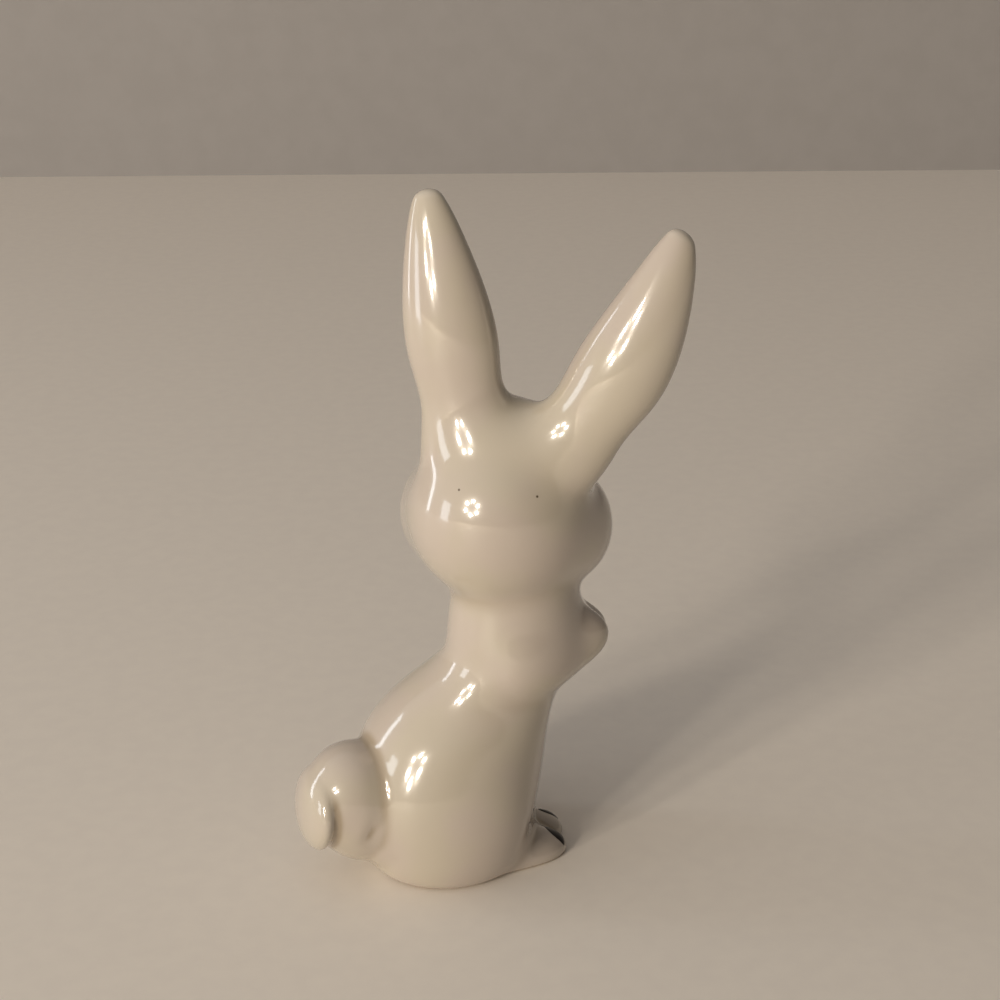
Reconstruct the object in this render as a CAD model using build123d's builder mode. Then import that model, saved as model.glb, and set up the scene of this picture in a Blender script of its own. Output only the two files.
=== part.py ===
from build123d import *
import os
from math import sqrt

# Ceramic rabbit figurine. It sits on z = 0 and faces +X, with its left side at +Y.
# Its head is turned to its left. Lengths are in millimetres and angles in degrees.
# A value whose name ends in share or shares is a part of the size that it follows.

os.makedirs("parts", exist_ok=True)

# Casting: the torso and the head are hollow, and every other lump of clay is solid
casting_wall = 2.8
vent_radius = 1.8
vent_back = 5.0
vent_rim = 0.4
throat_radius = 1.8
overrun = 1.0

# Torso: rings from the base to the top of the neck
torso_height = 41.8
torso_half_length = 12.4
torso_half_width = 10.6
neck_forward = 8.6
ring_height_shares = (0, 0.03, 0.12, 0.235, 0.385, 0.485, 0.59, 0.685, 0.765, 0.855, 1)
ring_forward_shares = (0, -0.06, -0.03, -0.05, 0.03, 0.18, 0.5, 0.87, 0.97, 1, 1)
ring_length_shares = (0.77, 0.9, 0.91, 0.98, 1, 0.94, 0.82, 0.7, 0.69, 0.68, 0.6)
ring_width_shares = (0.81, 0.92, 0.97, 0.99, 1, 0.94, 0.77, 0.76, 0.76, 0.71, 0.64)

# Haunches: a broad lump on each side of the torso
haunch_half_length = 10.0
haunch_half_width = 6.6
haunch_half_height = 9.5
haunch_back = 1.0
haunch_set_in = 4.8
haunch_rise = 8.7
haunch_blend = 2.0
haunch_spread = torso_half_width - haunch_set_in

# Head: the neck sinks into it, and it is turned and rolled about its centre
neck_sink = 5.2
head_set_back = 1.9
head_turn = 72.7
head_roll = 3.6
skull_half_length = 10.2
skull_half_width = 11.5
skull_half_height = 11.6
crown_half_length = 7.0
crown_half_width = 9.0
crown_half_height = 7.5
crown_forward = 1.0
crown_rise = 7.4
cheek_half_length = 5.6
cheek_half_width = 5.6
cheek_half_height = 6.9
cheek_forward = 4.6
cheek_spread = 8.0
cheek_drop = 2.5
muzzle_half_length = 5.0
muzzle_half_width = 5.4
muzzle_half_height = 4.4
muzzle_forward = 8.6
muzzle_drop = 3.6
head_forward = neck_forward - head_set_back
head_rise = torso_height + skull_half_height - neck_sink

# Ears: stacked oval rings from a root inside the head to a round tip that curls forwards
ear_length = 32.3
ear_half_width = 6.1
ear_flatness_share = 0.67
ear_behind = 0.9
ear_curl = 2.1
ear_along_shares = (-0.12, 0, 0.2, 0.4, 0.6, 0.8, 0.9, 0.96, 0.99)
ear_width_shares = (0.7, 0.95, 0.87, 0.94, 0.86, 0.62, 0.46, 0.33, 0.2)
left_ear_spread = 3.9
left_ear_rise = 8.5
left_ear_lean = 14.2
left_ear_twist = 1.4
left_ear_bow = 0.0
right_ear_spread = 6.2
right_ear_rise = 8.6
right_ear_lean = 23.5
right_ear_twist = 7.0
right_ear_bow = 1.9
scoop_half_depth = 3.0
scoop_half_width = 3.6
scoop_half_length = 12.0
scoop_rise = 16.0
scoop_depth = 1.4

# Forelegs: held up to the chest with the paws side by side, placed from its front and sides
chest_length_share = 0.69
chest_width_share = 0.77
paw_half_length = 6.5
paw_half_width = 3.0
paw_half_height = 4.3
paw_set_back = 2.95
paw_spread = 1.3
paw_drop = 11.0
paw_turn = 4.0
paw_tilt = -10.0
forearm_half_length = 6.4
forearm_half_width = 2.6
forearm_half_height = 3.8
forearm_set_back = 5.15
forearm_set_in = 3.16
forearm_drop = 12.0
forearm_turn = 32.0
chest_forward = neck_forward + chest_length_share * torso_half_length
paw_forward = chest_forward - paw_set_back
paw_rise = torso_height - paw_drop
forearm_forward = chest_forward - forearm_set_back
forearm_spread = chest_width_share * torso_half_width - forearm_set_in
forearm_rise = torso_height - forearm_drop

# Hind feet: low wedges side by side
foot_half_length = 7.6
foot_half_width = 4.0
foot_half_height = 3.2
foot_set_back = 1.65
foot_spread = 3.0
foot_rise = 0.6
foot_turn = 10.0
foot_forward = ring_length_shares[0] * torso_half_length - foot_set_back

# Tail: a bulb of lobes like tufts of fur, leaning back, a little to the right of the middle
tail_turn = 12.0
tail_set_out = 1.4
tail_rise = 9.8
tail_lean = 23.0
tail_half_length = 5.8
tail_half_width = 6.0
tail_half_height = 8.7
tail_lobe_half_width = 2.9
tail_lobe_half_height = 6.2
tail_lobe_count = 7
tail_lobe_out = 3.6
tail_lobe_start = -8.0
tail_back = torso_half_length + tail_set_out

# Painted marks: lenses of enamel that stand a little proud of the clay
enamel_proud = 0.35
enamel_half_depth = 1.2
eye_half_width = 1.5
eye_half_height = 2.1
eye_spread = 5.0
eye_rise = 2.6
nose_half_width = 1.7
nose_half_height = 1.2
nose_rise = 1.2
toe_mark_half_length = 1.9
toe_mark_half_width = 0.6
left_toe_mark_forward = 5.8
left_toe_mark_aside = 1.2
left_toe_mark_turn = -15.0
right_toe_mark_forward = 6.4
right_toe_mark_aside = 0.5
right_toe_mark_turn = -60.0


def oval_blank(half_length, half_width, half_height):
    """An ellipsoid about the origin, with its half-axes along X, Y and Z."""
    return scale(Sphere(1), by=(half_length, half_width, half_height))


def ring_stack(floor, inset):
    """The torso's rings from a floor height to the neck, each set in by the same amount."""
    with BuildPart() as stack:
        for height, forward, length, width in zip(
            ring_height_shares, ring_forward_shares, ring_length_shares, ring_width_shares
        ):
            with BuildSketch(Plane.XY.offset(floor + height * (torso_height - floor))):
                with Locations((forward * neck_forward, 0)):
                    Ellipse(length * torso_half_length - inset, width * torso_half_width - inset)
        loft()
    return stack.part


def enamel_blank(half_height, half_width):
    """A lens that is sunk into the clay under it, so that only its cap stands proud."""
    cap_share = sqrt(1 - ((enamel_half_depth - enamel_proud) / enamel_half_depth) ** 2)
    lens = oval_blank(half_height / cap_share, half_width / cap_share, enamel_half_depth)
    return lens.moved(Location((0, 0, enamel_proud - enamel_half_depth)))


def oval_seat(half_axes, forward, aside, rise):
    """The plane that touches an ellipsoid at a point of its surface, with its X axis upwards."""
    length, width, height = half_axes
    normal = (forward / length ** 2, aside / width ** 2, rise / height ** 2)
    upward = (-normal[0] * normal[2], -normal[1] * normal[2], normal[0] ** 2 + normal[1] ** 2)
    return Plane(origin=(forward, aside, rise), x_dir=upward, z_dir=normal).location


# Places that several pieces share, and which half of a middle cut each side keeps
head_plane = Plane(origin=(head_forward, 0, head_rise)).rotated(
    (head_turn, head_roll, 0), Intrinsic.ZXY
)
middle_plane = Plane.XZ
sides = (("left", 1, Keep.BOTTOM), ("right", -1, Keep.TOP))

# Blanks of clay and enamel
skull_blank = oval_blank(skull_half_length, skull_half_width, skull_half_height)
skull_core_blank = oval_blank(
    skull_half_length - casting_wall, skull_half_width - casting_wall, skull_half_height - casting_wall
)
crown_blank = oval_blank(crown_half_length, crown_half_width, crown_half_height)
cheek_blank = oval_blank(cheek_half_length, cheek_half_width, cheek_half_height)
muzzle_blank = oval_blank(muzzle_half_length, muzzle_half_width, muzzle_half_height)
torso_blank = ring_stack(0, 0)
torso_core_blank = ring_stack(casting_wall, casting_wall)
haunch_blank = oval_blank(haunch_half_length, haunch_half_width, haunch_half_height)
scoop_blank = oval_blank(scoop_half_depth, scoop_half_width, scoop_half_length)
paw_blank = oval_blank(paw_half_length, paw_half_width, paw_half_height)
forearm_blank = oval_blank(forearm_half_length, forearm_half_width, forearm_half_height)
foot_blank = oval_blank(foot_half_length, foot_half_width, foot_half_height)
tail_blank = oval_blank(tail_half_length, tail_half_width, tail_half_height)
tail_lobe_blank = oval_blank(tail_lobe_half_width, tail_lobe_half_width, tail_lobe_half_height)
eye_blank = enamel_blank(eye_half_height, eye_half_width)
nose_blank = enamel_blank(nose_half_height, nose_half_width)
toe_mark_blank = enamel_blank(toe_mark_half_length, toe_mark_half_width)

# Head: skull, crown, two cheeks and a muzzle, modelled solid and then drained
with BuildPart(head_plane) as head_model:
    add(skull_blank)
    with Locations((crown_forward, 0, crown_rise)):
        add(crown_blank)
    with Locations(
        (cheek_forward, cheek_spread, -cheek_drop), (cheek_forward, -cheek_spread, -cheek_drop)
    ):
        add(cheek_blank)
    with Locations((muzzle_forward, 0, -muzzle_drop)):
        add(muzzle_blank)

with BuildPart() as head:
    add(head_model.part)
    with Locations(head_plane):
        add(skull_core_blank, mode=Mode.SUBTRACT)
        with Locations((0, 0, -skull_half_height)):
            Cylinder(throat_radius, 2 * casting_wall, mode=Mode.SUBTRACT)
head.part.label = "head"
export_step(head.part, "parts/head.step")

# Torso: body and haunches, flat underneath, drained through a vent in the base
with BuildPart() as torso_model:
    add(torso_blank)
    with Locations(
        (-haunch_back, haunch_spread, haunch_rise), (-haunch_back, -haunch_spread, haunch_rise)
    ):
        add(haunch_blank)
    split(bisect_by=Plane.XY, keep=Keep.TOP)
    creases = torso_model.edges().filter_by_position(Axis.Z, overrun, haunch_rise + haunch_half_height)
    fillet(creases, haunch_blend)

with BuildPart() as torso:
    add(torso_model.part)
    add(head_model.part, mode=Mode.SUBTRACT)
    add(torso_core_blank, mode=Mode.SUBTRACT)
    with Locations((-vent_back, 0, 0)):
        Cylinder(vent_radius, 2 * (casting_wall + overrun), mode=Mode.SUBTRACT)
    rim = torso.edges().filter_by(GeomType.CIRCLE).sort_by(Axis.Z)[0]
    fillet(rim, vent_rim)
torso.part.label = "torso"
export_step(torso.part, "parts/torso.step")

# Ears: oval rings lofted to a tip, scooped on the side that faces forwards
ears = (
    ("left", 1, left_ear_spread, left_ear_rise, left_ear_lean, left_ear_twist, left_ear_bow),
    ("right", -1, right_ear_spread, right_ear_rise, right_ear_lean, right_ear_twist, right_ear_bow),
)
ear_half_thickness = ear_half_width * ear_flatness_share
scoop_curl = ear_curl * (scoop_rise / ear_length) ** 2
scoop_forward = scoop_curl + ear_half_thickness + scoop_half_depth - scoop_depth
for name, side, spread, rise, lean, twist, bow in ears:
    root = Location((-ear_behind, side * spread, rise), (-side * lean, 0, -twist))
    ear_plane = Plane(head_plane.location * root)
    with BuildPart() as ear:
        rings = []
        for along, width in zip(ear_along_shares, ear_width_shares):
            bow_share = 4 * along * (1 - along)
            with BuildSketch(ear_plane.offset(along * ear_length)) as ring:
                with Locations((ear_curl * along ** 2, side * bow * bow_share)):
                    Ellipse(width * ear_half_thickness, width * ear_half_width)
            rings.append(ring.sketch)
        tip = Vertex(ear_plane.from_local_coords(Vector(ear_curl, 0, ear_length)))
        loft(rings + [tip])
        with Locations(ear_plane):
            with Locations((scoop_forward, side * bow, scoop_rise)):
                add(scoop_blank, mode=Mode.SUBTRACT)
        add(head_model.part, mode=Mode.SUBTRACT)
    ear.part.label = "ear_" + name
    export_step(ear.part, "parts/ear_" + name + ".step")

# Forelegs: a forearm and a paw on each side, pressed together at the middle
for name, side, half in sides:
    paw_place = Location((paw_forward, side * paw_spread, paw_rise), (0, paw_tilt, -side * paw_turn))
    forearm_place = Location(
        (forearm_forward, side * forearm_spread, forearm_rise), (0, 0, -side * forearm_turn)
    )
    with BuildPart() as foreleg:
        with Locations(paw_place):
            add(paw_blank)
        with Locations(forearm_place):
            add(forearm_blank)
        split(bisect_by=middle_plane, keep=half)
        add(torso_model.part, mode=Mode.SUBTRACT)
        add(head_model.part, mode=Mode.SUBTRACT)
    foreleg.part.label = "foreleg_" + name
    export_step(foreleg.part, "parts/foreleg_" + name + ".step")

# Hind feet: flat underneath, each with one painted line across its toes
toe_marks = {
    "left": (left_toe_mark_forward, left_toe_mark_aside, left_toe_mark_turn),
    "right": (right_toe_mark_forward, right_toe_mark_aside, right_toe_mark_turn),
}
for name, side, half in sides:
    foot_place = Location((foot_forward, side * foot_spread, foot_rise), (0, 0, -side * foot_turn))
    with BuildPart() as foot:
        with Locations(foot_place):
            add(foot_blank)
        split(bisect_by=Plane.XY, keep=Keep.TOP)
        split(bisect_by=middle_plane, keep=half)
        add(torso_model.part, mode=Mode.SUBTRACT)
    foot.part.label = "hind_foot_" + name
    export_step(foot.part, "parts/hind_foot_" + name + ".step")

    toe_mark_forward, toe_mark_aside, toe_mark_turn = toe_marks[name]
    toe_mark_rise = foot_half_height * sqrt(
        1 - (toe_mark_forward / foot_half_length) ** 2 - (toe_mark_aside / foot_half_width) ** 2
    )
    foot_half_axes = (foot_half_length, foot_half_width, foot_half_height)
    toe_mark_seat = oval_seat(foot_half_axes, toe_mark_forward, toe_mark_aside, toe_mark_rise)
    with BuildPart() as toe_mark:
        with Locations(foot_place * toe_mark_seat * Location((0, 0, 0), (0, 0, toe_mark_turn))):
            add(toe_mark_blank)
        with Locations(foot_place):
            add(foot_blank, mode=Mode.SUBTRACT)
        split(bisect_by=middle_plane, keep=half)
    toe_mark.part.label = "toe_mark_" + name
    export_step(toe_mark.part, "parts/toe_mark_" + name + ".step")

# Tail: a core with lobes around its leaning axis, pressed against the torso
tail_bearing = Location((0, 0, 0), (0, 0, tail_turn))
tail_place = tail_bearing * Location((-tail_back, 0, tail_rise), (0, -tail_lean, 0))
with BuildPart() as tail:
    with Locations(tail_place):
        add(tail_blank)
        with PolarLocations(tail_lobe_out, tail_lobe_count, tail_lobe_start):
            add(tail_lobe_blank)
    add(torso_model.part, mode=Mode.SUBTRACT)
tail.part.label = "tail"
export_step(tail.part, "parts/tail.step")

# Eyes: a lens on each side of the skull's front
eye_forward = skull_half_length * sqrt(
    1 - (eye_spread / skull_half_width) ** 2 - (eye_rise / skull_half_height) ** 2
)
for name, side in (("left", 1), ("right", -1)):
    eye_seat = oval_seat(
        (skull_half_length, skull_half_width, skull_half_height), eye_forward, side * eye_spread, eye_rise
    )
    with BuildPart() as eye:
        with Locations(head_plane.location * eye_seat):
            add(eye_blank)
        add(head_model.part, mode=Mode.SUBTRACT)
    eye.part.label = "eye_" + name
    export_step(eye.part, "parts/eye_" + name + ".step")

# Nose: a lens on the upper front of the muzzle
nose_forward = muzzle_half_length * sqrt(1 - (nose_rise / muzzle_half_height) ** 2)
muzzle_place = Location((muzzle_forward, 0, -muzzle_drop))
nose_seat = oval_seat(
    (muzzle_half_length, muzzle_half_width, muzzle_half_height), nose_forward, 0, nose_rise
)
with BuildPart() as nose:
    with Locations(head_plane.location * muzzle_place * nose_seat):
        add(nose_blank)
    add(head_model.part, mode=Mode.SUBTRACT)
nose.part.label = "nose"
export_step(nose.part, "parts/nose.step")
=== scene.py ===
from math import cos, pi, radians, sin, sqrt

import bpy
import numpy as np
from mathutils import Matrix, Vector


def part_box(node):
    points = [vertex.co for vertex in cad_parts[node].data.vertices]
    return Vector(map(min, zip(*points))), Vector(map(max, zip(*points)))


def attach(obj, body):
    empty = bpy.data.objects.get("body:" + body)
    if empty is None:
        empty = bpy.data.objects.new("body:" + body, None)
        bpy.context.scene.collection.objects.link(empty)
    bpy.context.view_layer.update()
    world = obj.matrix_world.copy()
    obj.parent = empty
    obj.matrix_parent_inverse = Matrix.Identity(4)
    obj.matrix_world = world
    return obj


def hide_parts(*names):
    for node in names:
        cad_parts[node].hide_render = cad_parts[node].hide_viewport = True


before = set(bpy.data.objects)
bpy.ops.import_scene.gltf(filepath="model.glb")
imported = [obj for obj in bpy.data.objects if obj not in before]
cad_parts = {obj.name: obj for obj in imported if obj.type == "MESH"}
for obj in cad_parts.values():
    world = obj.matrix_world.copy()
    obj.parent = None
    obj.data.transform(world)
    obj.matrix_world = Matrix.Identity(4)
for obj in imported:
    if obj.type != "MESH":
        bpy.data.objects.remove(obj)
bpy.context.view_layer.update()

import openvdb
from mathutils import Matrix, Vector

# The forms are worked out in millimetres, in the CAD's frame, and made in metres.
MM = 0.001
TINY = 1e-6

# Forms


def turn(about, degrees):
    """A rotation matrix about X, Y or Z."""
    return np.array(Matrix.Rotation(radians(degrees), 3, about))


def place(origin, *turns):
    """An origin, and the three axes in columns that the turns give one after the other."""
    axes = np.identity(3)
    for step in turns:
        axes = axes @ step
    return np.array(origin, float), axes


def carried(carrier, spot):
    """A place that is given in the axes of another place."""
    return carrier[0] + carrier[1] @ spot[0], carrier[1] @ spot[1]


def oval(points, spot, half_axes):
    """Distance, near enough, to an ellipsoid at a place."""
    local = (points - spot[0]) @ spot[1]
    ratio = np.sqrt(np.sum((local / half_axes) ** 2, axis=-1))
    slope = np.sqrt(np.sum((local / np.square(half_axes)) ** 2, axis=-1))
    return ratio * (ratio - 1) / np.maximum(slope, TINY)


def melt(a, b, radius):
    """The union of two forms, with a smooth fillet of about that radius."""
    near = np.maximum(radius - np.abs(a - b), 0) / radius
    return np.minimum(a, b) - near ** 3 * radius / 6


def carve(a, b, radius):
    """The first form without the second, with a smooth edge."""
    return -melt(-a, b, radius)


def curve_through(knots, values):
    """A natural cubic spline, straight past its ends: a function that gives its value and its slope."""
    knots, values = np.array(knots, float), np.array(values, float)
    gaps = np.diff(knots)
    count = len(knots)
    system, target = np.identity(count), np.zeros(count)
    for i in range(1, count - 1):
        system[i, i - 1:i + 2] = gaps[i - 1], 2 * (gaps[i - 1] + gaps[i]), gaps[i]
        rises = np.diff(values[i - 1:i + 2]) / gaps[i - 1:i + 1]
        target[i] = 6 * (rises[1] - rises[0])
    bends = np.linalg.solve(system, target)

    def at(x):
        inside = np.clip(x, knots[0], knots[-1])
        i = np.clip(np.searchsorted(knots, inside) - 1, 0, count - 2)
        gap = gaps[i]
        after, before = (knots[i + 1] - inside) / gap, (inside - knots[i]) / gap
        value = after * values[i] + before * values[i + 1] + gap ** 2 / 6 * (
            (after ** 3 - after) * bends[i] + (before ** 3 - before) * bends[i + 1]
        )
        slope = (values[i + 1] - values[i]) / gap + gap / 6 * (
            (3 * before ** 2 - 1) * bends[i + 1] - (3 * after ** 2 - 1) * bends[i]
        )
        return value + slope * (x - inside), slope

    return at


# Torso: oval rings from the base to the neck, as shares of the driving sizes
TORSO_HEIGHT, TORSO_HALF_LENGTH, TORSO_HALF_WIDTH, NECK_FORWARD = 41.8, 12.4, 10.6, 8.6
RING_HEIGHTS = TORSO_HEIGHT * np.array((0, 0.03, 0.12, 0.235, 0.385, 0.485, 0.59, 0.685, 0.765, 0.855, 1))
RING_FORWARDS = NECK_FORWARD * np.array((0, -0.06, -0.03, -0.05, 0.03, 0.18, 0.5, 0.87, 0.97, 1, 1))
RING_LENGTHS = TORSO_HALF_LENGTH * np.array((0.77, 0.9, 0.91, 0.98, 1, 0.94, 0.82, 0.7, 0.69, 0.68, 0.6))
RING_WIDTHS = TORSO_HALF_WIDTH * np.array((0.81, 0.92, 0.97, 0.99, 1, 0.94, 0.77, 0.76, 0.76, 0.71, 0.64))
ring_forward = curve_through(RING_HEIGHTS, RING_FORWARDS)
ring_length = curve_through(RING_HEIGHTS, RING_LENGTHS)
ring_width = curve_through(RING_HEIGHTS, RING_WIDTHS)
HAUNCH, HAUNCH_BACK, HAUNCH_SPREAD, HAUNCH_RISE, HAUNCH_BLEND = (10.0, 6.6, 9.5), 1.0, 5.8, 8.7, 6.5
CLAY_WALL, CAVITY_TOP, VENT_RADIUS, VENT_BACK, VENT_EDGE = 2.8, 33.0, 1.8, 5.0, 0.6
BASE_EDGE = 0.9

# Head: its place, and its lumps' half-axes and places in the head's own axes
HEAD = place((6.7, 0, 48.2), turn("Z", 72.7), turn("X", 3.6))
SKULL, CROWN, CHEEK, MUZZLE = (10.2, 11.5, 11.6), (7.0, 9.0, 7.5), (5.6, 5.6, 6.9), (5.0, 5.4, 4.4)
CROWN_SPOT, MUZZLE_SPOT = (1.0, 0, 7.4), (8.6, 0, -3.6)
CHEEK_FORWARD, CHEEK_SPREAD, CHEEK_DROP = 4.6, 8.0, 2.5
CROWN_BLEND, CHEEK_BLEND, MUZZLE_BLEND = 2.5, 6.5, 3.0

# Ears: each has its side of the head, spread, rise, lean, twist and bow
EAR_LENGTH, EAR_HALF_WIDTH, EAR_FLATNESS, EAR_BEHIND = 32.3, 6.1, 0.67, 0.9
EAR_ALONG = EAR_LENGTH * np.array((-0.12, 0, 0.2, 0.4, 0.6, 0.8, 0.9, 0.96, 0.99, 1))
EAR_WIDTHS = EAR_HALF_WIDTH * np.array((0.7, 0.95, 0.87, 0.94, 0.86, 0.62, 0.46, 0.33, 0.2, 0))
ear_squares = curve_through(EAR_ALONG, EAR_WIDTHS ** 2)
EARS = {"left": (1, 3.9, 8.5, 14.2, 1.4, 0.0), "right": (-1, 6.2, 8.6, 23.5, 7.0, 1.9)}
EAR_CURL = 2.1
SCOOP, SCOOP_RISE, SCOOP_DEPTH, SCOOP_EDGE = (3.0, 3.6, 12.0), 16.0, 1.4, 1.6

# Limbs
PAW, PAW_FORWARD, PAW_SPREAD, PAW_RISE, PAW_TURN, PAW_TILT = (6.5, 3.0, 4.3), 14.2, 1.3, 30.8, 4.0, -10.0
FOREARM, FOREARM_FORWARD, FOREARM_SPREAD = (5.6, 2.6, 3.6), 12.0, 4.3
FOREARM_RISE, FOREARM_TURN = 29.8, 32.0
FOOT, FOOT_FORWARD, FOOT_SPREAD, FOOT_RISE, FOOT_TURN = (7.6, 4.0, 3.2), 7.9, 3.0, 0.6, 10.0
LIMB_BLEND, PAW_SEAM, FOOT_SEAM = 3.0, 0.7, 0.7

# Tail: each pair of lobes or grooves has half-axes, a place forwards, aside and up, and a tilt
TAIL, TAIL_BACK, TAIL_RISE, TAIL_LEAN, TAIL_TURN = (7.2, 6.9, 8.6), 12.6, 10.3, 25.0, 18.0
TAIL_LOBES = (
    ((1.8, 4.8, 4.8), (-5.6, 1.0, 2.8), 32.0),
    ((2.6, 3.6, 3.6), (0.4, 3.2, -4.4), 50.0),
)
TAIL_GROOVES = (
    ((2.4, 2.0, 4.6), (-3.4, 8.7, 2.8), 34.0),
    ((0.9, 2.0, 3.6), (-2.4, 8.7, -1.6), 46.0),
)
TAIL_PLACE = carried(
    place((0, 0, 0), turn("Z", TAIL_TURN)), place((-TAIL_BACK, 0, TAIL_RISE), turn("Y", -TAIL_LEAN))
)
LOBE_BLEND = 1.6


def torso_rings(points):
    """Distance, near enough, to the stack of oval rings."""
    height = np.clip(points[..., 2], 0, TORSO_HEIGHT)
    (forward, forward_slope), (length, length_slope) = ring_forward(height), ring_length(height)
    width, width_slope = ring_width(height)
    along, aside = (points[..., 0] - forward) / length, points[..., 1] / width
    ratio = np.sqrt(along ** 2 + aside ** 2)
    rise = along * (forward_slope + along * length_slope) / length + aside ** 2 * width_slope / width
    slope = np.sqrt((along / length) ** 2 + (aside / width) ** 2 + rise ** 2)
    return ratio * (ratio - 1) / np.maximum(slope, TINY)


def torso_form(points):
    """The rings and two haunches, cut level at the neck."""
    form = torso_rings(points)
    for side in (1, -1):
        haunch = place((-HAUNCH_BACK, side * HAUNCH_SPREAD, HAUNCH_RISE))
        form = melt(form, oval(points, haunch, HAUNCH), HAUNCH_BLEND)
    return np.maximum(form, points[..., 2] - TORSO_HEIGHT)


def hollow_form(points):
    """The cavity that the drained casting leaves, and its vent."""
    height = points[..., 2]
    core = np.maximum(torso_rings(points) + CLAY_WALL, np.maximum(CLAY_WALL - height, height - CAVITY_TOP))
    vent = np.hypot(points[..., 0] + VENT_BACK, points[..., 1]) - VENT_RADIUS
    return melt(core, np.maximum(vent, height - 2 * CLAY_WALL), VENT_EDGE)


def head_form(points):
    """The skull with its crown, two cheeks and the muzzle."""
    form = oval(points, HEAD, SKULL)
    form = melt(form, oval(points, carried(HEAD, place(CROWN_SPOT)), CROWN), CROWN_BLEND)
    for side in (1, -1):
        cheek = carried(HEAD, place((CHEEK_FORWARD, side * CHEEK_SPREAD, -CHEEK_DROP)))
        form = melt(form, oval(points, cheek, CHEEK), CHEEK_BLEND)
    return melt(form, oval(points, carried(HEAD, place(MUZZLE_SPOT)), MUZZLE), MUZZLE_BLEND)


def ear_form(points, name):
    """A stack of ovals that curls forwards and bows aside, with a scoop in its front."""
    side, spread, rise, lean, twist, bow = EARS[name]
    root = place((-EAR_BEHIND, side * spread, rise), turn("X", -side * lean), turn("Z", -twist))
    ear_place = carried(HEAD, root)
    local = (points - ear_place[0]) @ ear_place[1]
    along = local[..., 2]
    share = np.clip(along / EAR_LENGTH, EAR_ALONG[0] / EAR_LENGTH, 1)
    centre = side * bow * 4 * share * (1 - share)
    thick, wide = (local[..., 0] - EAR_CURL * share ** 2) / EAR_FLATNESS, local[..., 1] - centre
    radius = np.maximum(np.hypot(thick, wide), TINY)
    square, square_slope = ear_squares(along)
    stretch = np.hypot(thick / EAR_FLATNESS, wide) / radius
    reach = stretch * (radius + np.sqrt(np.maximum(square, 0)))
    form = (radius ** 2 - square) / np.maximum(np.hypot(reach, square_slope), TINY)
    form = np.maximum(form, EAR_ALONG[0] - along)
    scoop_curl = EAR_CURL * (SCOOP_RISE / EAR_LENGTH) ** 2
    scoop_out = scoop_curl + EAR_HALF_WIDTH * EAR_FLATNESS + SCOOP[0] - SCOOP_DEPTH
    scoop = carried(ear_place, place((scoop_out, side * bow, SCOOP_RISE)))
    return carve(form, oval(points, scoop, SCOOP), SCOOP_EDGE)


def foreleg_form(points, side):
    """A forearm and its paw, on one side of the middle."""
    paw_turns = turn("Y", PAW_TILT), turn("Z", -side * PAW_TURN)
    paw = place((PAW_FORWARD, side * PAW_SPREAD, PAW_RISE), *paw_turns)
    forearm_turn = turn("Z", -side * FOREARM_TURN)
    forearm = place((FOREARM_FORWARD, side * FOREARM_SPREAD, FOREARM_RISE), forearm_turn)
    form = melt(oval(points, paw, PAW), oval(points, forearm, FOREARM), LIMB_BLEND)
    return np.maximum(form, -side * points[..., 1])


def foot_place(side):
    return place((FOOT_FORWARD, side * FOOT_SPREAD, FOOT_RISE), turn("Z", -side * FOOT_TURN))


def foot_form(points, side):
    """A hind foot, on one side of the middle."""
    return np.maximum(oval(points, foot_place(side), FOOT), -side * points[..., 1])


def tail_pairs(points, pairs):
    """Each of the tail's paired lobes or grooves, on both sides."""
    for half_axes, (forward, aside, rise), tilt in pairs:
        for side in (1, -1):
            spot = carried(TAIL_PLACE, place((forward, side * aside, rise), turn("Y", tilt)))
            yield oval(points, spot, half_axes)


def tail_form(points):
    """A bulb like a tuft of fur, with a broad lobe at the back and grooves on its sides."""
    form = oval(points, TAIL_PLACE, TAIL)
    for groove in tail_pairs(points, TAIL_GROOVES):
        form = carve(form, groove, LOBE_BLEND)
    for lobe in tail_pairs(points, TAIL_LOBES):
        form = melt(form, lobe, LOBE_BLEND)
    return form


# How softly each lump of clay runs into the ones before it
HEAD_BLEND, EAR_BLEND, TAIL_BLEND, FORELEG_BLEND, FOOT_BLEND = 2.6, 5.0, 1.8, 4.0, 2.6
LUMPS = (
    ("torso", torso_form, None),
    ("head", head_form, HEAD_BLEND),
    ("ear_left", lambda points: ear_form(points, "left"), EAR_BLEND),
    ("ear_right", lambda points: ear_form(points, "right"), EAR_BLEND),
    ("tail", tail_form, TAIL_BLEND),
)
# Each pair of limbs, how softly its two meet, and how softly they run into the rest
PAIRS = (
    ("foreleg", foreleg_form, PAW_SEAM, FORELEG_BLEND),
    ("hind_foot", foot_form, FOOT_SEAM, FOOT_BLEND),
)
SIDES = ("_left", 1), ("_right", -1)
CLAY = [lump[0] for lump in LUMPS] + [pair[0] + ending for pair in PAIRS for ending, side in SIDES]


def all_forms(points):
    """Each lump's own distance, and that of the figurine that they melt into."""
    forms = {}
    for name, form, blend in LUMPS:
        forms[name] = form(points)
        whole = forms[name] if blend is None else melt(whole, forms[name], blend)
    for name, form, seam, blend in PAIRS:
        left, right = (form(points, side) for ending, side in SIDES)
        forms[name + "_left"], forms[name + "_right"] = left, right
        whole = melt(whole, melt(left, right, seam), blend)
    whole = carve(whole, points[..., 2], BASE_EDGE)
    whole = carve(whole, hollow_form(points), VENT_EDGE)
    return forms, whole


# Skin

# The grid's step, how far its distances reach, and how far it stands off the CAD's box
VOXEL = 0.4
BAND, MARGIN = 3 * VOXEL, 1.6
SLOPE_STEP = 0.02
RELAX_ROUNDS, RELAX_SHARE, SETTLE_ROUNDS = 4, 0.5, 2


def whole_form(points):
    return all_forms(points)[1]


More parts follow.
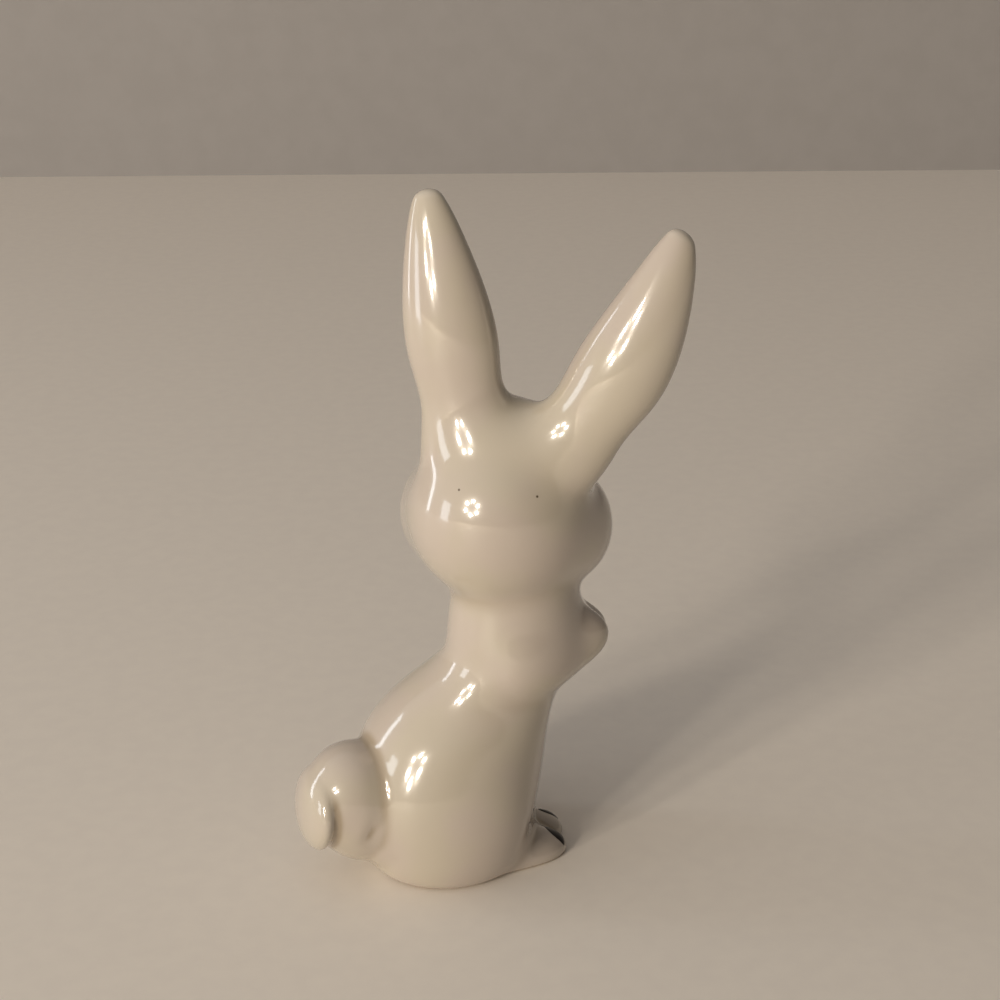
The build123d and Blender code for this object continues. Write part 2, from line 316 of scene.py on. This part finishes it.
def slopes(points):
    """The figurine's distance at some points, and its gradient, from four points around each."""
    total, gradient = 0, 0
    corners = (1, 1, 1), (1, -1, -1), (-1, 1, -1), (-1, -1, 1)
    for corner in corners:
        value = whole_form(points + SLOPE_STEP * np.array(corner))
        total = total + value
        gradient = gradient + value[:, None] * np.array(corner)
    return total / len(corners), gradient / (len(corners) * SLOPE_STEP)


def settle(points, rounds):
    """Moves points onto the figurine's surface along its gradient, and gives its normals there."""
    for _ in range(rounds):
        value, slope = slopes(points)
        reach = value / np.maximum(np.sum(slope ** 2, axis=1), TINY)
        points = points - slope * np.clip(reach, -VOXEL, VOXEL)[:, None]
    return points, slope / np.linalg.norm(slope, axis=1)[:, None]


def sampled():
    """The figurine's distance on a grid around its CAD nodes, and the grid's lowest corner."""
    boxes = [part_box(name) for name in CLAY]
    low = np.min([box[0] for box in boxes], axis=0) / MM - MARGIN
    high = np.max([box[1] for box in boxes], axis=0) / MM + MARGIN
    counts = np.ceil((high - low) / VOXEL).astype(int)
    across, aside, layers = (low[i] + VOXEL * np.arange(counts[i]) for i in range(3))
    x, y = np.meshgrid(across, aside, indexing="ij")
    field = np.empty(counts, np.float32)
    for i, height in enumerate(layers):
        field[:, :, i] = whole_form(np.stack((x, y, np.full_like(x, height)), axis=-1))
    return field, low


def relaxed(points, quads):
    """Draws each corner to the middle of its neighbours, and back onto the surface."""
    starts = np.concatenate([quads[:, i] for i in range(4)])
    ends = np.concatenate([quads[:, (i + 1) % 4] for i in range(4)])
    degree = np.bincount(starts, minlength=len(points))
    for _ in range(RELAX_ROUNDS):
        middle = np.stack([np.bincount(starts, points[ends, i], len(points)) for i in range(3)], axis=1)
        points = points + RELAX_SHARE * (middle / degree[:, None] - points)
        points = settle(points, 1)[0]
    return points


def skin():
    """Quads that cover the figurine, turned outwards, with their corners on its surface."""
    field, low = sampled()
    grid = openvdb.FloatGrid(BAND)
    grid.copyFromArray(np.clip(field, -BAND, BAND))
    points, _, quads = grid.convertToPolygons(isovalue=0, adaptivity=0)
    points = settle(points.astype(float) * VOXEL + low, SETTLE_ROUNDS)[0]
    quads = quads.astype(int)
    points, normals = settle(relaxed(points, quads), SETTLE_ROUNDS)
    corners = points[quads]
    facing = np.cross(corners[:, 2] - corners[:, 0], corners[:, 3] - corners[:, 1])
    if np.sum(facing * normals[quads[:, 0]]) < 0:
        quads = quads[:, ::-1]
    return points, normals, quads


# Pieces

BEND_STEP = 0.7
OWNER_ROUNDS = 3


def bends(points):
    """Twice the mean curvature at some points, per millimetre: negative where the surface is hollow."""
    total = -6 * whole_form(points)
    for axis in range(3):
        offset = np.zeros(3)
        offset[axis] = BEND_STEP
        total += whole_form(points + offset) + whole_form(points - offset)
    return total / BEND_STEP ** 2


def rims(faces):
    """The edges that only one face has, turned as that face goes round."""
    starts, ends = faces.ravel(), np.roll(faces, -1, axis=1).ravel()
    edges = set(zip(starts.tolist(), ends.tolist()))
    return sorted(edge for edge in edges if edge[::-1] not in edges)


def rim_groups(edges):
    """The rim edges of each opening."""
    root = {corner: corner for edge in edges for corner in edge}

    def top(corner):
        while root[corner] != corner:
            root[corner] = root[root[corner]]
            corner = root[corner]
        return corner

    for start, end in edges:
        root[top(start)] = top(end)
    groups = {}
    for edge in edges:
        groups.setdefault(top(edge[0]), []).append(edge)
    return [groups[key] for key in sorted(groups)]


def add_mesh(name, points, faces, node_name, look):
    """A piece that rides on the body and replaces its CAD node."""
    mesh = bpy.data.meshes.new(name)
    mesh.from_pydata((points * MM).tolist(), [], faces)
    mesh.materials.append(look)
    made = bpy.data.objects.new(name, mesh)
    bpy.context.scene.collection.objects.link(made)
    mesh.shade_smooth()
    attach(made, "root")
    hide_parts(node_name)
    return mesh


def add_clay(name, points, normals, hollows, quads, look):
    """One lump of clay: its share of the skin, closed by a fan over each opening."""
    used, corners = np.unique(quads, return_inverse=True)
    corners = corners.reshape(quads.shape)
    shown_points, shown_normals = points[used], normals[used]
    centres, faces = [], corners.tolist()
    for group in rim_groups(rims(corners)):
        faces += [[end, start, len(used) + len(centres)] for start, end in group]
        centres.append(shown_points[[start for start, _ in group]].mean(axis=0))
    mesh = add_mesh(name + "_glazed", np.vstack([shown_points, *centres]), faces, name, look)
    corner_normals = []
    for face in mesh.polygons:
        if face.index < len(quads):
            corner_normals += [tuple(shown_normals[corner]) for corner in face.vertices]
        else:
            corner_normals += [tuple(face.normal)] * len(face.vertices)
    mesh.normals_split_custom_set(corner_normals)
    values = np.zeros(len(mesh.vertices), np.float32)
    values[:len(used)] = hollows[used]
    mesh.attributes.new("hollow", "FLOAT", "POINT").data.foreach_set("value", values)


def add_figurine(look):
    """Splits the skin between the lumps: each face goes to the nearest, then with its neighbours."""
    points, normals, quads = skin()
    hollows = bends(points)
    forms = all_forms(points[quads].mean(axis=1))[0]
    owner = np.argmin(np.stack([forms[name] for name in CLAY]), axis=0)
    for _ in range(OWNER_ROUNDS):
        votes = np.zeros((len(points), len(CLAY)))
        for i in range(4):
            np.add.at(votes, (quads[:, i], owner), 1)
        owner = np.argmax(votes[quads].sum(axis=1), axis=1)
    for i, name in enumerate(CLAY):
        add_clay(name, points, normals, hollows, quads[owner == i], look)


ENAMEL_PROUD, ENAMEL_SUNK = 0.14, 0.3
ENAMEL_RINGS, ENAMEL_SPOKES = 7, 36
MARCH_ROUNDS, MARCH_FROM = 24, 3.0


def add_enamel(name, spot, along, across, look, pointed=0):
    """A painted oval: marched onto the glaze around a place, with a rounded edge."""
    origin, (upward, sideways, outward) = spot[0], spot[1].T
    rings = np.sin(np.linspace(0, pi / 2, ENAMEL_RINGS))[1:]
    spokes = np.linspace(0, 2 * pi, ENAMEL_SPOKES, endpoint=False)
    share = np.concatenate(([0], np.repeat(rings, ENAMEL_SPOKES)))
    angle = np.concatenate(([0], np.tile(spokes, len(rings))))
    width = across * (1 - pointed * np.cos(angle) ** 2)
    flat = (share * np.cos(angle))[:, None] * along * upward
    flat = flat + (share * np.sin(angle) * width)[:, None] * sideways
    points = origin + flat + MARCH_FROM * outward
    for _ in range(MARCH_ROUNDS):
        points = points - whole_form(points)[:, None] * outward
    normals = settle(points, 1)[1]
    top = points + normals * (ENAMEL_PROUD * np.sqrt(1 - share ** 2))[:, None]
    low = points - normals * ENAMEL_SUNK
    count, faces = len(points), []
    for i in range(ENAMEL_SPOKES):
        j = (i + 1) % ENAMEL_SPOKES
        faces.append([0, 1 + i, 1 + j])
        faces.append([count, count + 1 + j, count + 1 + i])
        for row in range(len(rings) - 1):
            inner, outer = 1 + row * ENAMEL_SPOKES, 1 + (row + 1) * ENAMEL_SPOKES
            faces.append([inner + i, outer + i, outer + j, inner + j])
            faces.append([count + inner + i, count + inner + j, count + outer + j, count + outer + i])
        outer = 1 + (len(rings) - 1) * ENAMEL_SPOKES
        faces.append([outer + i, count + outer + i, count + outer + j, outer + j])
    add_mesh(name + "_painted", np.concatenate((top, low)), faces, name, look)


def seat(carrier, half_axes, forward, aside, rise):
    """The place that touches an ellipsoid, with X up, Y to the side and Z outwards."""
    normal = np.array((forward, aside, rise)) / np.square(half_axes)
    normal /= np.linalg.norm(normal)
    upward = np.array((0, 0, 1)) - normal[2] * normal
    upward /= np.linalg.norm(upward)
    axes = np.stack((upward, np.cross(normal, upward), normal), axis=1)
    return carried(carrier, (np.array((forward, aside, rise), float), axes))


# Materials


def material(name):
    made = bpy.data.materials.new(name)
    made.use_nodes = True
    return made, made.node_tree, made.node_tree.nodes["Principled BSDF"]


def feed(tree, value, socket):
    """Links a socket into another, or sets its value."""
    if isinstance(value, bpy.types.NodeSocket):
        tree.links.new(value, socket)
    else:
        socket.default_value = value


def node(tree, kind, inputs=(), **settings):
    """Adds a node. Each input is a name or number and what feeds it: a socket or a value."""
    added = tree.nodes.new(kind)
    for key, value in settings.items():
        setattr(added, key, value)
    for key, value in inputs:
        feed(tree, value, added.inputs[key])
    return added


def sockets(tree, kind, inputs=(), **settings):
    return node(tree, kind, inputs, **settings).outputs


def span(tree, value, low, high, to_low=0.0, to_high=1.0):
    """A value's smooth way from one limit to the other."""
    limits = ("From Min", low), ("From Max", high), ("To Min", to_low), ("To Max", to_high)
    inputs = ("Value", value), *limits
    return sockets(tree, "ShaderNodeMapRange", inputs, interpolation_type="SMOOTHSTEP")["Result"]


def mixed(tree, share, a, b):
    """A mix of two colours."""
    added = node(tree, "ShaderNodeMix", data_type="RGBA")
    for key, value in (("Factor_Float", share), ("A_Color", a), ("B_Color", b)):
        feed(tree, value, next(found for found in added.inputs if found.identifier == key))
    return next(found for found in added.outputs if found.identifier == "Result_Color")


def noise(tree, where, grain, detail=2.0):
    """Noise whose lumps are about that many millimetres across."""
    inputs = ("Vector", where), ("Scale", 1 / (grain * MM)), ("Detail", detail)
    return sockets(tree, "ShaderNodeTexNoise", inputs)["Fac"]


# Two ivories in soft patches, darker where the surface is hollow, partly from pooled glaze and partly as
# painted shade, and lighter where it bends sharply
IVORY, IVORY_PINK = (0.535, 0.475, 0.385, 1), (0.535, 0.463, 0.40, 1)
POOLED_AND_SHADED, THIN = (0.40, 0.325, 0.24, 1), (0.60, 0.545, 0.465, 1)
PATCH_GRAIN, PATCH_RANGE = 14.0, (0.4, 0.6)
POOLED_SHADE_RANGE, THIN_RANGE, THIN_SHARE = (0.05, -0.5), (0.5, 1.2), 0.5
# Two pinholes, and a foot rim that was wiped bare up to a height, darker partly from the bare clay and
# partly as painted contact shadow
PINHOLE, PINHOLES, PINHOLE_RADIUS = (0.10, 0.07, 0.045, 1), ((10.3, -8.7, 53.8), (1.0, -6.8, 54.3)), 0.22
BISQUE_AND_CONTACT_SHADE, BARE_TO, GLAZED_FROM = (0.50, 0.40, 0.29, 1), 0.15, 0.45
GLAZE_ROUGHNESS, BARE_ROUGHNESS, GLAZE_IOR = 0.16, 0.85, 1.45
GLOSS_ROUGHNESS, GLOSS_IOR = 0.05, 1.52
WAVE_GRAIN, WAVE_DETAIL, WAVE_STRENGTH, WAVE_HEIGHT = 5.0, 1.0, 0.25, 0.12


def glaze():
    made, tree, shader = material("ivory_glaze")
    where = sockets(tree, "ShaderNodeTexCoord")["Object"]
    hollow = sockets(tree, "ShaderNodeAttribute", attribute_name="hollow")["Fac"]
    tone = mixed(tree, span(tree, noise(tree, where, PATCH_GRAIN), *PATCH_RANGE), IVORY, IVORY_PINK)
    # Darker in hollows: partly glaze pooled there, partly painted shade
    tone = mixed(tree, span(tree, hollow, *POOLED_SHADE_RANGE), tone, POOLED_AND_SHADED)
    tone = mixed(tree, span(tree, hollow, *THIN_RANGE, 0.0, THIN_SHARE), tone, THIN)
    for spot in PINHOLES:
        ends = (0, where), (1, [x * MM for x in spot])
        away = sockets(tree, "ShaderNodeVectorMath", ends, operation="DISTANCE")["Value"]
        pit = span(tree, away, PINHOLE_RADIUS * MM, PINHOLE_RADIUS * MM / 3)
        tone = mixed(tree, pit, tone, PINHOLE)
    height = sockets(tree, "ShaderNodeSeparateXYZ", (("Vector", where),))["Z"]
    bare_and_shaded = span(tree, height, GLAZED_FROM * MM, BARE_TO * MM)
    # The bare rim is matt, and its darker colour is partly bare clay and partly painted contact shadow
    # along the foot
    feed(tree, mixed(tree, bare_and_shaded, tone, BISQUE_AND_CONTACT_SHADE), shader.inputs["Base Color"])
    feed(tree, span(tree, bare_and_shaded, 0.0, 1.0, GLAZE_ROUGHNESS, BARE_ROUGHNESS), shader.inputs["Roughness"])
    feed(tree, span(tree, bare_and_shaded, 0.0, 1.0, 1.0, 0.0), shader.inputs["Coat Weight"])
    shader.inputs["Coat Roughness"].default_value = GLOSS_ROUGHNESS
    shader.inputs["Coat IOR"].default_value = GLOSS_IOR
    shader.inputs["IOR"].default_value = GLAZE_IOR
    waves = noise(tree, where, WAVE_GRAIN, WAVE_DETAIL)
    bump_inputs = ("Height", waves), ("Strength", WAVE_STRENGTH), ("Distance", WAVE_HEIGHT * MM)
    feed(tree, sockets(tree, "ShaderNodeBump", bump_inputs)["Normal"], shader.inputs["Coat Normal"])
    return made


BLACK, BLACK_OTHER = (0.012, 0.009, 0.009, 1), (0.02, 0.016, 0.015, 1)
PINK, PINK_OTHER = (0.70, 0.40, 0.37, 1), (0.64, 0.34, 0.32, 1)
ENAMEL_GRAIN, ENAMEL_RANGE, ENAMEL_ROUGHNESS, ENAMEL_IOR = 0.6, (0.35, 0.65), 0.3, 1.3
ENAMEL_GLOSS, ENAMEL_GLOSS_ROUGHNESS = 0.3, 0.1


def enamel(name, colour, other):
    made, tree, shader = material(name)
    where = sockets(tree, "ShaderNodeTexCoord")["Object"]
    tone = mixed(tree, span(tree, noise(tree, where, ENAMEL_GRAIN), *ENAMEL_RANGE), colour, other)
    feed(tree, tone, shader.inputs["Base Color"])
    shader.inputs["Roughness"].default_value = ENAMEL_ROUGHNESS
    shader.inputs["IOR"].default_value = ENAMEL_IOR
    shader.inputs["Coat Weight"].default_value = ENAMEL_GLOSS
    shader.inputs["Coat Roughness"].default_value = ENAMEL_GLOSS_ROUGHNESS
    return made


TABLE, TABLE_OTHER, TABLE_GRAIN, TABLE_ROUGHNESS = (0.87, 0.805, 0.73, 1), (0.85, 0.785, 0.715, 1), 3.0, 0.6
PLASTER, PLASTER_OTHER = (0.41, 0.385, 0.37, 1), (0.395, 0.37, 0.355, 1)
PLASTER_GRAIN, PLASTER_ROUGHNESS = 8.0, 0.9
MOTTLE_DETAIL, MOTTLE_RANGE = 4.0, (0.3, 0.7)


def mottled(name, colour, other, grain, roughness):
    """A matt surface with a faint mottle."""
    made, tree, shader = material(name)
    where = sockets(tree, "ShaderNodeTexCoord")["Object"]
    tone = mixed(tree, span(tree, noise(tree, where, grain, MOTTLE_DETAIL), *MOTTLE_RANGE), colour, other)
    feed(tree, tone, shader.inputs["Base Color"])
    shader.inputs["Roughness"].default_value = roughness
    return made


# The figurine

glaze_look = glaze()
black_look = enamel("black_enamel", BLACK, BLACK_OTHER)
pink_look = enamel("pink_enamel", PINK, PINK_OTHER)
add_figurine(glaze_look)

EYE_ASIDE, EYE_RISE, EYE_HEIGHT, EYE_WIDTH = 5.0, 2.6, 2.1, 1.5
eye_forward = SKULL[0] * sqrt(1 - (EYE_ASIDE / SKULL[1]) ** 2 - (EYE_RISE / SKULL[2]) ** 2)
for ending, side in SIDES:
    eye_spot = seat(HEAD, SKULL, eye_forward, side * EYE_ASIDE, EYE_RISE)
    add_enamel("eye" + ending, eye_spot, EYE_HEIGHT, EYE_WIDTH, black_look)

NOSE_RISE, NOSE_HEIGHT, NOSE_WIDTH = 1.2, 1.2, 1.7
nose_forward = MUZZLE[0] * sqrt(1 - (NOSE_RISE / MUZZLE[2]) ** 2)
nose_spot = seat(carried(HEAD, place(MUZZLE_SPOT)), MUZZLE, nose_forward, 0, NOSE_RISE)
add_enamel("nose", nose_spot, NOSE_HEIGHT, NOSE_WIDTH, pink_look)

# Each toe mark: its place forwards and aside on the foot, its turn and its half-width
TOE_MARKS = (5.8, 1.2, -15.0, 0.6), (6.2, 0.0, -50.0, 1.1)
TOE_HALF_LENGTH, TOE_POINTED = 1.9, 0.4
for (ending, side), (forward, aside, bend, half_width) in zip(SIDES, TOE_MARKS):
    rise = FOOT[2] * sqrt(1 - (forward / FOOT[0]) ** 2 - (aside / FOOT[1]) ** 2)
    toe_seat = seat(foot_place(side), FOOT, forward, aside, rise)
    toe_spot = carried(toe_seat, place((0, 0, 0), turn("Z", bend)))
    add_enamel(
        "toe_mark" + ending, toe_spot, TOE_HALF_LENGTH, half_width, black_look, TOE_POINTED
    )

# Camera

AZIMUTH, ELEVATION, DISTANCE = -5.735, 21.913, 235.07
AIM_HEIGHT, AIM_ASIDE, AIM_UP = 44.0, 6.643, 5.835
FOCAL_PIXELS, IMAGE_PIXELS, SENSOR, CLIP_START = 1866.0, 1000.0, 36.0, 10.0
UP = np.array((0, 0, 1.0))
azimuth, elevation = radians(AZIMUTH), radians(ELEVATION)
view_right = np.array((cos(azimuth), sin(azimuth), 0))
view_up = np.array((-sin(azimuth) * sin(elevation), cos(azimuth) * sin(elevation), cos(elevation)))
view_back = np.cross(view_right, view_up)
ground_back = np.array((view_back[0], view_back[1], 0)) / cos(elevation)
aim = AIM_HEIGHT * UP + AIM_ASIDE * view_right + AIM_UP * view_up


def stand(thing, spot, right, up, back):
    """Puts a camera or lamp at a spot, looking against its back axis."""
    matrix = Matrix(np.stack((right, up, back), axis=1).tolist()).to_4x4()
    matrix.translation = Vector(spot * MM)
    thing.matrix_world = matrix


camera_data = bpy.data.cameras.new("camera")
camera_data.sensor_width = SENSOR
camera_data.lens = FOCAL_PIXELS / IMAGE_PIXELS * SENSOR
camera_data.clip_start = CLIP_START * MM
camera = bpy.data.objects.new("camera", camera_data)
bpy.context.scene.collection.objects.link(camera)
stand(camera, aim + DISTANCE * view_back, view_right, view_up, view_back)
bpy.context.scene.camera = camera

# Lights

WARM, COOL, SOFT = (1.0, 0.89, 0.74), (0.86, 0.93, 1.0), (1.0, 0.95, 0.89)
# Each light: degrees left of the camera, degrees up, distance, width and height, and radiance
LAMP = 38.0, 15.5, 1000.0, (77.0, 77.0), 74.0
WINDOW = 98.0, 10.0, 500.0, (45.0, 340.0), 5.0
DOOR = 70.0, 3.0, 500.0, (100.0, 170.0), 3.5
# The lamp is a ring of round bulbs
LAMP_COUNT, LAMP_RING, LAMP_FIRST = 6, 133.0, 30.0
# The room is brightest up on the left, and dims softly over the quarter turn from there
BRIGHT_LEFT, BRIGHT_RISE, ROOM_DARK, ROOM_BRIGHT = 75.0, 45.0, 0.03, 0.55


def bearing(left, rise):
    """The direction from the figurine that lies so many degrees left of the camera, and so high."""
    level = cos(radians(left)) * ground_back - sin(radians(left)) * view_right
    return cos(radians(rise)) * level + sin(radians(rise)) * UP


def add_light(name, left, rise, away, size, radiance, colour, shift=(0, 0)):
    """An area light that faces the figurine, moved across its own face by the shift."""
    back = bearing(left, rise)
    right = np.cross(UP, back)
    right /= np.linalg.norm(right)
    up = np.cross(back, right)
    data = bpy.data.lights.new(name, "AREA")
    data.shape = "ELLIPSE" if size[0] == size[1] else "RECTANGLE"
    data.size, data.size_y = size[0] * MM, size[1] * MM
    area = data.size * data.size_y * (pi / 4 if data.shape == "ELLIPSE" else 1)
    data.energy = radiance * area * pi
    data.color = colour
    made = bpy.data.objects.new(name, data)
    bpy.context.scene.collection.objects.link(made)
    stand(made, AIM_HEIGHT * UP + away * back + shift[0] * right + shift[1] * up, right, up, back)


def add_room():
    """The light of the room itself, stronger the nearer a direction is to the brightest one."""
    world = bpy.data.worlds.new("room")
    world.use_nodes = True
    tree = world.node_tree
    room = tree.nodes["Background"]
    room.inputs["Color"].default_value = (*SOFT, 1)
    facing = sockets(tree, "ShaderNodeTexCoord")["Generated"]
    ends = (0, facing), (1, tuple(bearing(BRIGHT_LEFT, BRIGHT_RISE)))
    nearness = sockets(tree, "ShaderNodeVectorMath", ends, operation="DOT_PRODUCT")["Value"]
    feed(tree, span(tree, nearness, 0.0, 1.0, ROOM_DARK, ROOM_BRIGHT), room.inputs["Strength"])
    bpy.context.scene.world = world


for i in range(LAMP_COUNT):
    angle = radians(LAMP_FIRST + i * 360 / LAMP_COUNT)
    add_light("lamp_" + str(i), *LAMP, WARM, (LAMP_RING * cos(angle), LAMP_RING * sin(angle)))
add_light("window", *WINDOW, COOL)
add_light("door", *DOOR, COOL)
add_room()

# Floor and wall

FLOOR_HALF, WALL_AWAY, WALL_HEIGHT, WALL_TURN = 1500.0, 430.0, 700.0, 2.0


def add_stage(name, points, look):
    mesh = bpy.data.meshes.new(name)
    mesh.from_pydata([tuple(x * MM for x in point) for point in points], [], [[0, 1, 2, 3]])
    mesh.materials.append(look)
    made = bpy.data.objects.new(name, mesh)
    bpy.context.scene.collection.objects.link(made)


floor_look = mottled("table_top", TABLE, TABLE_OTHER, TABLE_GRAIN, TABLE_ROUGHNESS)
wall_look = mottled("back_wall", PLASTER, PLASTER_OTHER, PLASTER_GRAIN, PLASTER_ROUGHNESS)
floor_corners = (-1, -1), (1, -1), (1, 1), (-1, 1)
add_stage("table_top", [(x * FLOOR_HALF, y * FLOOR_HALF, 0) for x, y in floor_corners], floor_look)
wall_foot = -WALL_AWAY * ground_back
wall_along = cos(radians(WALL_TURN)) * view_right - sin(radians(WALL_TURN)) * ground_back
wall_left, wall_right = wall_foot - FLOOR_HALF * wall_along, wall_foot + FLOOR_HALF * wall_along
wall_top = WALL_HEIGHT * UP
add_stage("back_wall", [wall_left, wall_right, wall_right + wall_top, wall_left + wall_top], wall_look)

bpy.context.scene.view_settings.view_transform = "Standard"
